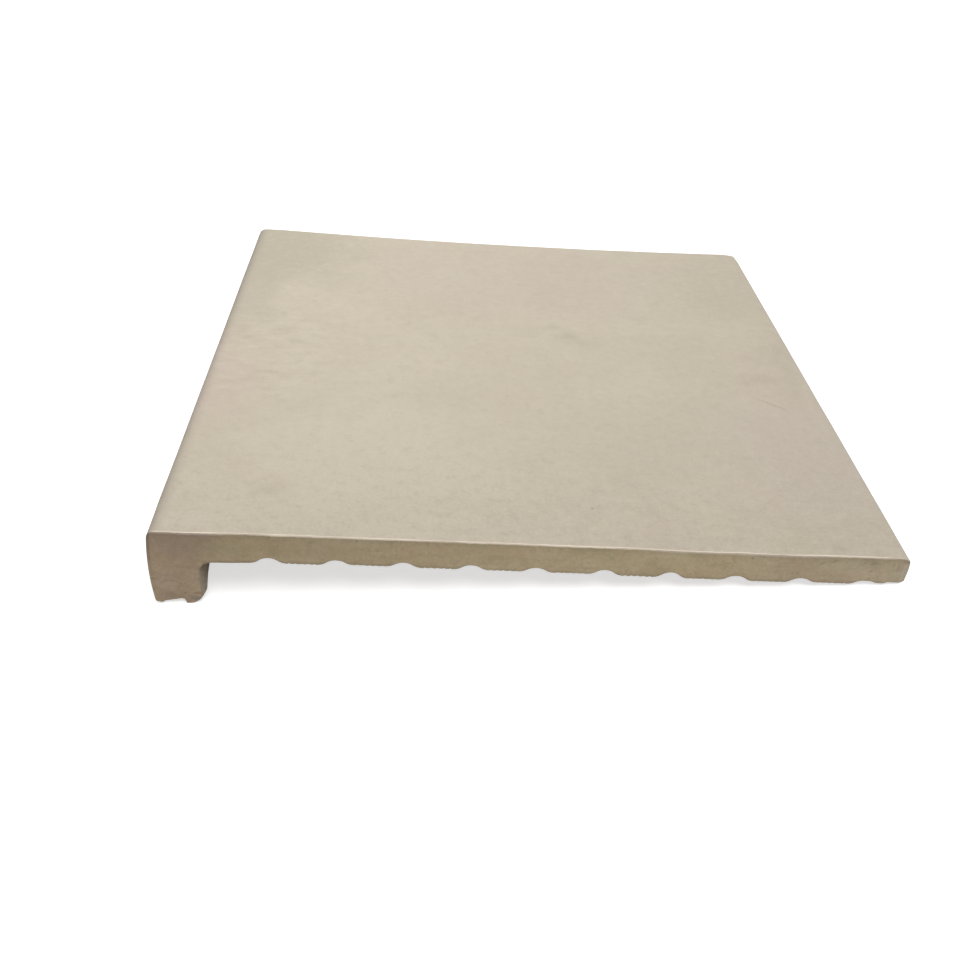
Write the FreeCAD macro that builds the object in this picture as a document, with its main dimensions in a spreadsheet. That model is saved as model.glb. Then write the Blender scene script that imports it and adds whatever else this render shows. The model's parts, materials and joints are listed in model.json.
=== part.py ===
import FreeCAD, Part
import math
import os
import Sketcher

# Stair tread tile of extruded, unglazed stoneware, fired as one piece.
# The section is drawn in the XZ plane and runs along Y, the way the clay left the die.
# X starts at the foremost line of the nose and grows towards the rear edge, and the
# walking surface is at Z = 0. The finished tile is then set down as it lies unheld on a
# level floor: on the heel of its nose and on its rear lower edge.

# Driving dimensions, in millimetres
SIZES = {
    # slab
    "tread_depth": 330.0,         # foremost line of the nose to the rear edge
    "tread_length": 330.0,        # from one cut face to the other, along the step
    "slab_thickness": 15.6,       # walking surface to the lands of the bedding face
    "rear_top_radius": 3.0,       # upper edge of the rear face
    "rear_low_radius": 2.5,       # lower edge of the rear face
    "arris_bevel": 0.7,           # eased top edge of each cut face
    # nose, which hangs over the front of the step
    "nose_drop": 40.1,            # walking surface to the foot of the nose
    "nose_thickness": 21.9,       # foremost line of the nose to its inner face
    "nose_face_radius": 150.0,    # gentle swell of the outer face
    "nose_top_radius": 5.0,       # rounded edge that is stepped on
    "nose_toe_radius": 1.4,       # outer lower edge
    "nose_heel_radius": 4.6,      # inner lower edge
    "nose_root_radius": 4.8,      # hollow corner between nose and slab
    # scar along the foot, left where a twin tile was split off after firing
    "scar_start": 4.6,            # foremost line of the nose to the scar
    "scar_width": 10.2,           # the scar on the foot
    "scar_peak": 8.2,             # start of the scar to its deepest line
    "scar_depth": 1.9,            # deepest line above the foot
    # key grooves of the bedding face, arched like shallow tunnels
    "groove_first": 50.8,         # foremost line of the nose to the first groove's middle
    "groove_pitch": 29.05,        # middle of one groove to the middle of the next
    "groove_width": 15.6,         # from one land to the next
    "groove_depth": 2.6,          # crown of the arch above the lands
    "rear_land": 9.0,             # least land between the last groove and the rear edge
    # fine combing of the lands between two grooves
    "comb_pitch": 2.8,            # one comb line to the next
    "comb_width": 1.5,            # a comb line where it meets the land
    "comb_depth": 0.35,           # a comb line's ridge above the land
}

doc = FreeCAD.newDocument("StairTreadTile")
sheet = doc.addObject("Spreadsheet::Sheet", "Sizes")
for row, (alias, value) in enumerate(SIZES.items(), start=1):
    sheet.set(f"A{row}", alias)
    sheet.set(f"B{row}", str(value))
    sheet.setAlias(f"B{row}", alias)
doc.recompute()

# How many grooves and comb lines the tile has room for
GROOVE_COUNT = ("(floor((Sizes.tread_depth - Sizes.groove_first - Sizes.groove_width / 2"
                " - Sizes.rear_land) / Sizes.groove_pitch) + 1)")
COMB_COUNT = ("(floor((Sizes.groove_pitch - Sizes.groove_width - Sizes.comb_width)"
              " / Sizes.comb_pitch) + 1)")

# How a sketch numbers the points of a curve, and its horizontal axis, which starts at the origin
START, END, CENTRE = range(1, 4)
ORIGIN = (-1, START)
H_AXIS = ORIGIN[0]


def origin_feature(body, role):
    return next(item for item in body.Origin.OriginFeatures if item.Role == role)


def new_sketch(body, name, plane_role):
    sketch = body.newObject("Sketcher::SketchObject", name)
    sketch.AttachmentSupport = [(origin_feature(body, plane_role), "")]
    sketch.MapMode = "FlatFace"
    return sketch


def line(sketch, x1, y1, x2, y2):
    ends = FreeCAD.Vector(x1, y1, 0), FreeCAD.Vector(x2, y2, 0)
    return sketch.addGeometry(Part.LineSegment(*ends), False)


def arc(sketch, x, y, radius, start_deg, end_deg):
    """An arc about (x, y) that runs anticlockwise from start_deg to end_deg."""
    circle = Part.Circle(FreeCAD.Vector(x, y, 0), FreeCAD.Vector(0, 0, 1), radius)
    turned = Part.ArcOfCircle(circle, math.radians(start_deg), math.radians(end_deg))
    return sketch.addGeometry(turned, False)


def relate(sketch, kind, *where):
    sketch.addConstraint(Sketcher.Constraint(kind, *where))


def dimension(sketch, name, kind, where, first_guess, formula):
    """A named dimension of the sketch that follows the sheet."""
    index = sketch.addConstraint(Sketcher.Constraint(kind, *where, first_guess))
    sketch.renameConstraint(index, name)
    sketch.setExpression(f"Constraints.{name}", formula)


def draw_section(body):
    """The outline that the die gives, drawn anticlockwise from the walking surface."""
    s = SIZES
    sketch = new_sketch(body, "SectionSketch", "XZ_Plane")
    foot = -s["nose_drop"]
    under = -s["slab_thickness"]
    rear_top_x = s["tread_depth"] - s["rear_top_radius"]
    rear_low_x = s["tread_depth"] - s["rear_low_radius"]
    back_x = s["nose_thickness"]
    heel_x = back_x - s["nose_heel_radius"]
    root_x = back_x + s["nose_root_radius"]
    scar_end = s["scar_start"] + s["scar_width"]
    scar_top = (s["scar_start"] + s["scar_peak"], foot + s["scar_depth"])

    walk = line(sketch, rear_top_x, 0, s["nose_top_radius"], 0)
    nose_top = arc(sketch, s["nose_top_radius"], -s["nose_top_radius"], s["nose_top_radius"], 90, 174)
    nose_face = arc(sketch, s["nose_face_radius"], foot / 2, s["nose_face_radius"], 174, 187)
    toe = arc(sketch, 2 * s["nose_toe_radius"], foot + s["nose_toe_radius"], s["nose_toe_radius"], 187, 270)
    toe_flat = line(sketch, 2 * s["nose_toe_radius"], foot, s["scar_start"], foot)
    scar_slope = line(sketch, s["scar_start"], foot, *scar_top)
    scar_step = line(sketch, *scar_top, scar_end, foot)
    heel_flat = line(sketch, scar_end, foot, heel_x, foot)
    heel = arc(sketch, heel_x, foot + s["nose_heel_radius"], s["nose_heel_radius"], 270, 360)
    nose_back = line(sketch, back_x, foot + s["nose_heel_radius"], back_x, under - s["nose_root_radius"])
    root = arc(sketch, root_x, under - s["nose_root_radius"], s["nose_root_radius"], 90, 180)
    bedding = line(sketch, root_x, under, rear_low_x, under)
    rear_low = arc(sketch, rear_low_x, under + s["rear_low_radius"], s["rear_low_radius"], 270, 360)
    rear = line(sketch, s["tread_depth"], under + s["rear_low_radius"],
                s["tread_depth"], -s["rear_top_radius"])
    rear_top = arc(sketch, rear_top_x, -s["rear_top_radius"], s["rear_top_radius"], 0, 90)

    smooth = [(walk, END, nose_top, START), (nose_top, END, nose_face, START),
              (nose_face, END, toe, START), (toe, END, toe_flat, START),
              (heel_flat, END, heel, START), (heel, END, nose_back, START),
              (nose_back, END, root, END), (root, START, bedding, START),
              (bedding, END, rear_low, START), (rear_low, END, rear, START),
              (rear, END, rear_top, START), (rear_top, END, walk, START)]
    for joint in smooth:
        relate(sketch, "Tangent", *joint)
    for joint in [(toe_flat, END, scar_slope, START), (scar_slope, END, scar_step, START),
                  (scar_step, END, heel_flat, START)]:
        relate(sketch, "Coincident", *joint)
    for level in (walk, toe_flat, heel_flat, bedding):
        relate(sketch, "Horizontal", level)
    relate(sketch, "Horizontal", toe_flat, END, heel_flat, START)
    relate(sketch, "Vertical", nose_back)
    relate(sketch, "Vertical", rear)
    relate(sketch, "PointOnObject", walk, END, H_AXIS)

    radii = {"nose_top_radius": nose_top, "nose_face_radius": nose_face, "nose_toe_radius": toe,
             "nose_heel_radius": heel, "nose_root_radius": root,
             "rear_low_radius": rear_low, "rear_top_radius": rear_top}
    for alias, curve in radii.items():
        dimension(sketch, alias, "Radius", (curve,), s[alias], f"Sizes.{alias}")
    across = {"tread_depth": (rear, END), "nose_thickness": (nose_back, START),
              "scar_start": (scar_slope, START)}
    for alias, point in across.items():
        dimension(sketch, alias, "DistanceX", (*ORIGIN, *point), s[alias], f"Sizes.{alias}")
    down = {"slab_thickness": (bedding, START), "nose_drop": (heel_flat, START)}
    for alias, point in down.items():
        dimension(sketch, alias, "DistanceY", (*point, *ORIGIN), s[alias], f"Sizes.{alias}")
    dimension(sketch, "scar_width", "DistanceX", (scar_slope, START, scar_step, END),
              s["scar_width"], "Sizes.scar_width")
    dimension(sketch, "scar_peak", "DistanceX", (scar_slope, START, scar_slope, END),
              s["scar_peak"], "Sizes.scar_peak")
    dimension(sketch, "scar_depth", "DistanceY", (scar_slope, START, scar_slope, END),
              s["scar_depth"], "Sizes.scar_depth")
    # the swell's foremost line is at X = 0, half way down the nose
    dimension(sketch, "swell_reach", "DistanceX", (*ORIGIN, nose_face, CENTRE),
              s["nose_face_radius"], "Sizes.nose_face_radius")
    dimension(sketch, "swell_level", "DistanceY", (nose_face, CENTRE, *ORIGIN),
              s["nose_drop"] / 2, "Sizes.nose_drop / 2")
    return sketch


def extrude(body, sketch):
    pad = body.newObject("PartDesign::Pad", "ExtrudedBody")
    pad.Profile = sketch
    pad.SideType = "Symmetric"
    pad.setExpression("Length", "Sizes.tread_length")
    return pad


def cut_through(body, name, sketch):
    pocket = body.newObject("PartDesign::Pocket", name)
    pocket.Profile = sketch
    pocket.SideType = "Symmetric"
    pocket.Type = "ThroughAll"
    return pocket


def spacing(body, name, gap, count):
    """A row of copies along X, gap apart."""
    pattern = body.newObject("PartDesign::LinearPattern", name)
    pattern.Direction = (origin_feature(body, "X_Axis"), [""])
    pattern.Mode = "Spacing"
    pattern.setExpression("Offset", gap)
    pattern.setExpression("Occurrences", count)
    return pattern


def draw_groove(body):
    """One arched groove: a crown and two shoulders of one radius, level where they meet the land."""
    s = SIZES
    sketch = new_sketch(body, "GrooveSketch", "XZ_Plane")
    half = s["groove_width"] / 2
    depth = s["groove_depth"]
    radius = (half ** 2 + depth ** 2) / (4 * depth)
    turn = math.degrees(math.asin(half / (2 * radius)))
    land = -s["slab_thickness"]
    left, middle, right = (s["groove_first"] + shift for shift in (-half, 0, half))
    crown = arc(sketch, middle, land + depth - radius, radius, 90 - turn, 90 + turn)
    left_shoulder = arc(sketch, left, land + radius, radius, 270, 270 + turn)
    right_shoulder = arc(sketch, right, land + radius, radius, 270 - turn, 270)
    left_side = line(sketch, left, land - depth, left, land)
    right_side = line(sketch, right, land, right, land - depth)
    below = line(sketch, right, land - depth, left, land - depth)

    relate(sketch, "Tangent", left_shoulder, END, crown, END)
    relate(sketch, "Tangent", right_shoulder, START, crown, START)
    relate(sketch, "Perpendicular", left_side, END, left_shoulder, START)
    relate(sketch, "Perpendicular", right_side, START, right_shoulder, END)
    relate(sketch, "Coincident", right_side, END, below, START)
    relate(sketch, "Coincident", below, END, left_side, START)
    relate(sketch, "Vertical", left_side)
    relate(sketch, "Vertical", right_side)
    relate(sketch, "Horizontal", below)
    relate(sketch, "Equal", left_shoulder, crown)
    relate(sketch, "Horizontal", left_side, END, right_side, START)
    dimension(sketch, "first_shoulder", "DistanceX", (*ORIGIN, left_side, END), left,
              "Sizes.groove_first - Sizes.groove_width / 2")
    dimension(sketch, "groove_width", "DistanceX", (left_side, END, right_side, START),
              s["groove_width"], "Sizes.groove_width")
    dimension(sketch, "land_level", "DistanceY", (left_side, END, *ORIGIN), -land,
              "Sizes.slab_thickness")
    dimension(sketch, "crown_radius", "Radius", (crown,), radius,
              "((Sizes.groove_width / 2)^2 + Sizes.groove_depth^2) / (4 * Sizes.groove_depth)")
    dimension(sketch, "cut_below", "DistanceY", (left_side, START, left_side, END), depth,
              "Sizes.groove_depth")
    return sketch


def cut_grooves(body):
    groove = cut_through(body, "KeyGroove", draw_groove(body))
    row = spacing(body, "KeyGrooves", "Sizes.groove_pitch", GROOVE_COUNT)
    row.Originals = [groove]
    body.Tip = row
    return groove, row


def draw_comb_line(body):
    """A notch with its ridge above the land, drawn on as far below the land."""
    s = SIZES
    sketch = new_sketch(body, "CombSketch", "XZ_Plane")
    land = -s["slab_thickness"]
    room = s["groove_pitch"] - s["groove_width"] - s["comb_width"]
    steps = math.floor(room / s["comb_pitch"])
    ridge_x = s["groove_first"] + (s["groove_pitch"] - steps * s["comb_pitch"]) / 2
    low = land - s["comb_depth"]
    left = line(sketch, ridge_x - s["comb_width"], low, ridge_x, land + s["comb_depth"])
    right = line(sketch, ridge_x, land + s["comb_depth"], ridge_x + s["comb_width"], low)
    below = line(sketch, ridge_x + s["comb_width"], low, ridge_x - s["comb_width"], low)
    relate(sketch, "Coincident", left, END, right, START)
    relate(sketch, "Coincident", right, END, below, START)
    relate(sketch, "Coincident", below, END, left, START)
    relate(sketch, "Horizontal", below)
    relate(sketch, "Equal", left, right)
    dimension(sketch, "ridge_place", "DistanceX", (*ORIGIN, left, END), ridge_x,
              f"Sizes.groove_first + (Sizes.groove_pitch - ({COMB_COUNT} - 1) * Sizes.comb_pitch) / 2")
    dimension(sketch, "ridge_level", "DistanceY", (left, END, *ORIGIN), -land - s["comb_depth"],
              "Sizes.slab_thickness - Sizes.comb_depth")
    dimension(sketch, "notch_height", "DistanceY", (left, START, left, END), 2 * s["comb_depth"],
              "2 * Sizes.comb_depth")
    dimension(sketch, "notch_width", "DistanceX", (left, START, right, END), 2 * s["comb_width"],
              "2 * Sizes.comb_width")
    return sketch


def cut_combing(body):
    notch = cut_through(body, "CombLine", draw_comb_line(body))
    combing = body.newObject("PartDesign::MultiTransform", "Combing")
    combing.Originals = [notch]
    combing.Transformations = [
        spacing(body, "AcrossLand", "Sizes.comb_pitch", COMB_COUNT),
        spacing(body, "LandToLand", "Sizes.groove_pitch", f"{GROOVE_COUNT} - 1")]
    body.Tip = combing
    return notch, combing


def ease_arrises(body):
    """A small bevel along the top edge of each cut face."""
    s = SIZES
    sketch = new_sketch(body, "ArrisSketch", "YZ_Plane")
    bevel = s["arris_bevel"]
    outer = s["tread_length"] / 2 + bevel
    top = line(sketch, outer, bevel, outer - 3 * bevel, bevel)
    slope = line(sketch, outer - 3 * bevel, bevel, outer, -2 * bevel)
    side = line(sketch, outer, -2 * bevel, outer, bevel)
    relate(sketch, "Coincident", top, END, slope, START)
    relate(sketch, "Coincident", slope, END, side, START)
    relate(sketch, "Coincident", side, END, top, START)
    relate(sketch, "Horizontal", top)
    relate(sketch, "Vertical", side)
    relate(sketch, "Equal", top, side)
    dimension(sketch, "outer_place", "DistanceX", (*ORIGIN, side, END), outer,
              "Sizes.tread_length / 2 + Sizes.arris_bevel")
    dimension(sketch, "outer_level", "DistanceY", (*ORIGIN, side, END), bevel, "Sizes.arris_bevel")
    dimension(sketch, "leg", "DistanceY", (side, START, side, END), 3 * bevel,
              "3 * Sizes.arris_bevel")
    bevel_cut = cut_through(body, "ArrisBevel", sketch)
    other_end = body.newObject("PartDesign::Mirrored", "OtherArrisBevel")
    other_end.Originals = [bevel_cut]
    other_end.MirrorPlane = (origin_feature(body, "XZ_Plane"), [""])
    body.Tip = other_end
    return bevel_cut, other_end


def set_down(body):
    """Lean the tile until heel and rear lower edge touch the floor, with the origin at the
    middle of the footprint. Both are arcs, so the floor is the line that touches the two."""
    heel_x = "(Sizes.nose_thickness - Sizes.nose_heel_radius)"
    heel_z = "(Sizes.nose_heel_radius - Sizes.nose_drop)"
    low_x = "(Sizes.tread_depth - Sizes.rear_low_radius)"
    low_z = "(Sizes.rear_low_radius - Sizes.slab_thickness)"
    span = f"sqrt(({low_x} - {heel_x})^2 + ({low_z} - {heel_z})^2)"
    lean = (f"(atan2({low_z} - {heel_z}; {low_x} - {heel_x})"
            f" + asin((Sizes.nose_heel_radius - Sizes.rear_low_radius) / {span}))")
    # lowest point of the heel, and the outermost points of nose and rear edge, once leaned
    lift = f"({heel_x} * sin({lean}) - {heel_z} * cos({lean}) + Sizes.nose_heel_radius)"
    front = f"(Sizes.nose_face_radius * (cos({lean}) - 1) - Sizes.nose_drop / 2 * sin({lean}))"
    back = (f"((Sizes.tread_depth - Sizes.rear_top_radius) * cos({lean})"
            f" - Sizes.rear_top_radius * sin({lean}) + Sizes.rear_top_radius)")
    body.setExpression(
        "Placement",
        f"placement(vector(-({front} + {back}) / 2; 0; {lift}); rotation(vector(0; 1; 0); {lean}))")


def build_tile():
    body = doc.addObject("PartDesign::Body", "TreadTile")
    body.Label = "tread_tile"
    extruded = extrude(body, draw_section(body))
    steps = [extruded, *cut_grooves(body), *cut_combing(body), *ease_arrises(body)]
    set_down(body)
    doc.recompute()
    # each cut takes clay away from the step before it
    for before, after in zip(steps, steps[1:]):
        if not after.Shape.Volume < before.Shape.Volume:
            raise RuntimeError(f"{after.Label} cuts nothing")
    return body


def check_document():
    failed = [item.Label for item in doc.Objects
              if "Invalid" in item.State or "Error" in item.State]
    if failed:
        raise RuntimeError("failed: " + ", ".join(failed))


def export(body):
    shape = body.Shape
    if shape.isNull() or not shape.isValid() or len(shape.Solids) != 1:
        raise RuntimeError(f"{body.Label} is not one valid solid")
    os.makedirs("parts", exist_ok=True)
    shape.exportStep(f"parts/{body.Label}.step")
    box = shape.BoundBox
    print(f"{body.Label}: {shape.Volume / 1000:.1f} cm3, {len(shape.Faces)} faces, "
          f"x {box.XMin:.2f} to {box.XMax:.2f}, y {box.YMin:.2f} to {box.YMax:.2f}, "
          f"z {box.ZMin:.3f} to {box.ZMax:.2f}")


tile = build_tile()
check_document()
export(tile)
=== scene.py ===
import json
import math
import time

import bmesh
import bpy
from mathutils import Matrix, Vector


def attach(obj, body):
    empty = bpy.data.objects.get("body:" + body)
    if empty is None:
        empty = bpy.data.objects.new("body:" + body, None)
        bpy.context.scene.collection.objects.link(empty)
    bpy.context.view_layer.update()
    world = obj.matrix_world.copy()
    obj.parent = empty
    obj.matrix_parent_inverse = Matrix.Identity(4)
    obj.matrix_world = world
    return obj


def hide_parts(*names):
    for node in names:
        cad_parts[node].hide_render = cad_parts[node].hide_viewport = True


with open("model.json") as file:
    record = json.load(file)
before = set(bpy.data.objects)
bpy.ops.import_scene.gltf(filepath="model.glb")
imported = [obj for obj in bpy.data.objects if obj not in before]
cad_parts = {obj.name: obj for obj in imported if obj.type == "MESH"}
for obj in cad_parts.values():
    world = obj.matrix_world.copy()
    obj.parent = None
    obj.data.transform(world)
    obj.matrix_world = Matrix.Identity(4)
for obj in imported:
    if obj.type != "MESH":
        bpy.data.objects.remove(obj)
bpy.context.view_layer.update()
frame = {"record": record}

startTime = time.time()


def report(stage):
    print(f"{time.time() - startTime:6.1f} s  {stage}")


# Stair tread tile of extruded, unglazed stoneware, in metres.
# It is drawn level: X runs from the nose to the rear edge, and Z = 0 is the walking surface.
tile = {
    "depth": 0.330,
    "length": 0.330,
    "slab": 0.0156,
    "noseDrop": 0.0401,
    "noseThickness": 0.0219,
    "faceRadius": 0.150,       # gentle swell of the nose's outer face
    "topRadius": 0.005,
    "toeRadius": 0.0014,
    "heelRadius": 0.0065,
    "heelSwell": 0.0005,       # the heel is a little wider than the nose above it
    "swellTop": -0.029,
    "rootRadius": 0.0048,
    "rearTopRadius": 0.0034,
    "rearLowRadius": 0.0025,
    "scarStart": 0.0046,       # split-off scar along the foot
    "scarPeak": 0.0128,
    "scarEnd": 0.0148,
    "scarDepth": 0.0019,
    "scarInset": (0.0005, 0.0002),    # its roughness stops short of its edges
    "scarTop": 0.0025,
    "grooves": 10,
    "grooveFirst": 0.0508,
    "groovePitch": 0.02905,
    "grooveWidth": 0.0156,
    "grooveDepth": 0.0026,
    # as fired, each land lies this much above its true plane, and each groove this much
    # further back and with its crown this much higher
    "landDrift": (-0.0005, -0.0002, 0.0003, 0.0001, 0.0001, 0.0001, -0.0003, -0.0005, -0.0007,
                  -0.0002, 0.0007),
    "grooveDrift": (0.0002, -0.0001, 0, 0, -0.0009, 0.0003, 0.0002, 0.0006, 0.0002, 0.0008),
    "crownDrift": (0, 0, 0, 0, -0.0002, 0, 0, -0.0006, -0.0006, -0.0009),
    "lastCrown": 0.0026,       # flat of the last groove, and its short rear shoulder
    "lastShoulder": 0.0054,
    "rearStep": (0.3212, 0.3228),    # the rear land lifts between these
    "rearLevel": -0.0141,
    "thickRoot": 0.0012,       # extra clay under the slab beside the nose
    "combLines": 5,
    "combPitch": 0.0027,
    "combWidth": 0.0015,
    "combDepth": 0.00035,
    "combDeep": (0.8, 0.6, 0.9, 0.7, 0.6, 1.0, 0.5, 0.4, 0.5),    # how crisp each land's combing is
    "columnStep": 0.0028,      # mesh columns across the section
    "noseColumns": 14,
    "rowStep": 0.002,          # mesh rows down the cut faces
    "rows": 19,
    "rowGap": (-0.0165, -0.0125),    # none where the bedding face and the grooves run
    "rings": 100,              # mesh rings along the length
    "endStep": 0.0014,         # first ring behind each cut face
    "arris": 0.00045,          # eased edge round the top of each cut face
    "arrisReach": 0.0035,      # round the top, the nose's face and the rear
    "sideTop": -0.0205,        # the nose's inner side, which the cutting wire dragged
    "sideFade": 0.006,
    "sideReach": 0.001,        # as drawn, it stands out less than this
    "flare": 0.0018,           # it stands out this much beside a cut
    "flareRise": 0.0045,
    "flareReach": 0.022,
    "waist": 0.0011,           # and lies this much further in away from the cuts
    "waistReach": 0.028,
    "wornAt": (0.014, 0.236, 0.270, 0.331),    # middles of the stretches where the near arris is worn
    "wornReach": (0.028, 0.034, 0.026, 0.012),
    "wornBand": 0.001,         # it counts as arris this near to both faces
    "wornDepth": 0.0006,
    "farCorners": ((0.004, 0.5), (0.330, 1.0)),    # knocked off: where along X, and its share
    "cornerReach": 0.011,
    "cornerDepth": 0.0008,
    "cornerFade": 0.006,       # nothing is gone this far down
    "rearFull": 0.0001,        # the rear face swells a little, most beside the near cut
    "rearSwell": 0.00045,
    "swellAt": -0.0088,
    "swellReach": 0.008,
    "swellFade": 0.012,
    "sag": 0.00225,            # dip of the slab's middle at the far end, from drying
    "sagFade": 0.025,          # the slab is stiff this near to what it rests on
    "waves": 0.0003,           # unevenness of the fired skin
    "waveSize": 0.045,
    "drag": 0.0003,            # roughness of the cut faces
    "dragSize": 0.006,
    "split": 0.0012,           # and of the scar
    "splitSize": 0.005,
}
foot = -tile["noseDrop"]
under = -tile["slab"]
nearEnd = -tile["length"] / 2
weldReach = 0.00001            # points this near to each other are one
gridSnap = 0.00005             # a grid cut takes a corner this near to it
onRear = 0.0001                # what lies this near to the rear face's plane belongs to it
onCut = 0.0002                 # and this near to a cut plane belongs to the cut face


def deselectAll():
    if bpy.context.mode != "OBJECT":
        bpy.ops.object.mode_set(mode="OBJECT")
    bpy.ops.object.select_all(action="DESELECT")


def makeActive(piece):
    deselectAll()
    piece.select_set(True)
    bpy.context.view_layer.objects.active = piece


def selectAll():
    bpy.ops.mesh.select_all(action="SELECT")


def selectEdges(piece, test):
    mesh = bmesh.from_edit_mesh(piece.data)
    bpy.ops.mesh.select_all(action="DESELECT")
    found = [edge for edge in mesh.edges if test(edge)]
    for edge in found:
        edge.select_set(True)
    mesh.select_flush_mode()
    bmesh.update_edit_mesh(piece.data)


# where the line of the section has got to
pen = {}


def startAt(x, z):
    deselectAll()
    bpy.ops.mesh.primitive_plane_add(size=0.001, location=(x, nearEnd, z))
    bpy.ops.object.mode_set(mode="EDIT")
    bpy.ops.mesh.select_mode(type="VERT")
    bpy.ops.mesh.merge(type="CENTER")
    pen["x"], pen["z"] = x, z
    return bpy.context.object


def runTo(x, z):
    bpy.ops.mesh.extrude_vertices_move(
        TRANSFORM_OT_translate={"value": (x - pen["x"], 0, z - pen["z"])})
    pen["x"], pen["z"] = x, z


def roundAbout(x, z, degrees, steps):
    # the line goes on along an arc about (x, z), anticlockwise when positive
    angle = math.radians(degrees)
    bpy.ops.mesh.spin(steps=steps, angle=angle, center=(x, nearEnd, z), axis=(0, 1, 0), dupli=False)
    reach = Matrix.Rotation(angle, 2) @ Vector((pen["x"] - x, pen["z"] - z))
    pen["x"], pen["z"] = x + reach[0], z + reach[1]


def softStep(x, z):
    # an S of two equal arcs, level at both ends
    run, rise = x - pen["x"], z - pen["z"]
    way = 1 if rise > 0 else -1
    radius = (run ** 2 + rise ** 2) / (4 * abs(rise))
    turn = way * math.degrees(math.asin(run / (2 * radius)))
    roundAbout(pen["x"], pen["z"] + way * radius, turn, steps=4)
    roundAbout(x, z - way * radius, -turn, steps=4)


def drawNose():
    t = tile
    half = t["noseDrop"] / 2
    topTurn = 90 - math.degrees(math.asin((half - t["topRadius"]) / (t["faceRadius"] - t["topRadius"])))
    toeTurn = math.degrees(math.asin((half - t["toeRadius"]) / (t["faceRadius"] - t["toeRadius"])))
    topX = t["faceRadius"] - (t["faceRadius"] - t["topRadius"]) * math.sin(math.radians(topTurn))
    toeX = t["faceRadius"] - (t["faceRadius"] - t["toeRadius"]) * math.cos(math.radians(toeTurn))
    heelX = t["noseThickness"] + t["heelSwell"] - t["heelRadius"]
    runTo(topX, 0)
    roundAbout(topX, -t["topRadius"], topTurn, steps=8)
    roundAbout(t["faceRadius"], -half, 90 - topTurn + toeTurn, steps=14)
    roundAbout(toeX, foot + t["toeRadius"], 90 - toeTurn, steps=5)
    runTo(t["scarStart"], foot)
    runTo(t["scarPeak"], foot + t["scarDepth"])
    runTo(t["scarEnd"], foot)
    runTo(heelX, foot)
    roundAbout(heelX, foot + t["heelRadius"], 90, steps=10)
    runTo(t["noseThickness"], t["swellTop"])
    rootLevel = under - t["thickRoot"] - t["rootRadius"]
    runTo(t["noseThickness"], rootLevel)
    roundAbout(t["noseThickness"] + t["rootRadius"], rootLevel, -90, steps=8)


def grooveMiddle(groove):
    return tile["grooveFirst"] + groove * tile["groovePitch"] + tile["grooveDrift"][groove]


def drawGroove(groove, before, after):
    # an arch between two lands, which may lie a little apart in height
    last = groove == tile["grooves"] - 1
    middle = grooveMiddle(groove)
    half = tile["grooveWidth"] / 2
    crown = under + tile["grooveDepth"] + tile["crownDrift"][groove]
    runTo(middle - half, under + before)
    if last:
        softStep(middle - tile["lastCrown"] / 2, crown)
        runTo(middle + tile["lastCrown"] / 2, crown)
    else:
        softStep(middle, crown)
    softStep(middle + (tile["lastShoulder"] if last else half), under + after)


def drawCombing(middle, land, depth):
    for line in range(tile["combLines"]):
        ridge = middle + (line - (tile["combLines"] - 1) / 2) * tile["combPitch"]
        runTo(ridge - tile["combWidth"] / 2, land)
        runTo(ridge, land + depth)
        runTo(ridge + tile["combWidth"] / 2, land)


def drawSection():
    t = tile
    piece = startAt(t["depth"] - t["rearTopRadius"], 0)
    drawNose()
    for groove in range(t["grooves"]):
        before, after = t["landDrift"][groove:groove + 2]
        drawGroove(groove, before, after)
        if groove < t["grooves"] - 1:
            drawCombing((grooveMiddle(groove) + grooveMiddle(groove + 1)) / 2, under + after,
                        t["combDepth"] * t["combDeep"][groove])
    stepFrom, stepTo = t["rearStep"]
    rearX = t["depth"] - t["rearLowRadius"]
    runTo(stepFrom, under + t["landDrift"][-1])
    runTo(stepTo, t["rearLevel"])
    runTo(rearX, t["rearLevel"])
    roundAbout(rearX, t["rearLevel"] + t["rearLowRadius"], 90, steps=8)
    runTo(t["depth"], -t["rearTopRadius"])
    roundAbout(t["depth"] - t["rearTopRadius"], -t["rearTopRadius"], 90, steps=6)
    selectAll()
    bpy.ops.mesh.remove_doubles(threshold=weldReach)
    selectAll()
    bpy.ops.mesh.edge_face_add()
    return piece


def gridSection():
    # columns follow the grooves, in sixths, and the comb lines, so that no cut leaves a sliver
    t = tile
    step = t["columnStep"]
    places = [step * k for k in range(1, t["noseColumns"] + 1)]
    for groove in range(t["grooves"]):
        middle = grooveMiddle(groove)
        places += [middle + t["grooveWidth"] * k / 6 for k in range(-3, 4)]
        if groove < t["grooves"] - 1:
            land = (middle + grooveMiddle(groove + 1)) / 2
            places += [land + k * t["combPitch"] for k in range(-2, 3)]
    places += [t["depth"] - t["rearLowRadius"] - step, t["depth"] - t["rearLowRadius"],
               t["depth"] - t["rearTopRadius"]]
    for x in places:
        selectAll()
        bpy.ops.mesh.bisect(plane_co=(x, nearEnd, 0), plane_no=(1, 0, 0), threshold=gridSnap)
    gapLow, gapHigh = t["rowGap"]
    for z in [-t["rowStep"] * k for k in range(1, t["rows"] + 1)]:
        if not gapLow < z < gapHigh:
            selectAll()
            bpy.ops.mesh.bisect(plane_co=(0, nearEnd, z), plane_no=(0, 0, 1), threshold=gridSnap)


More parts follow.
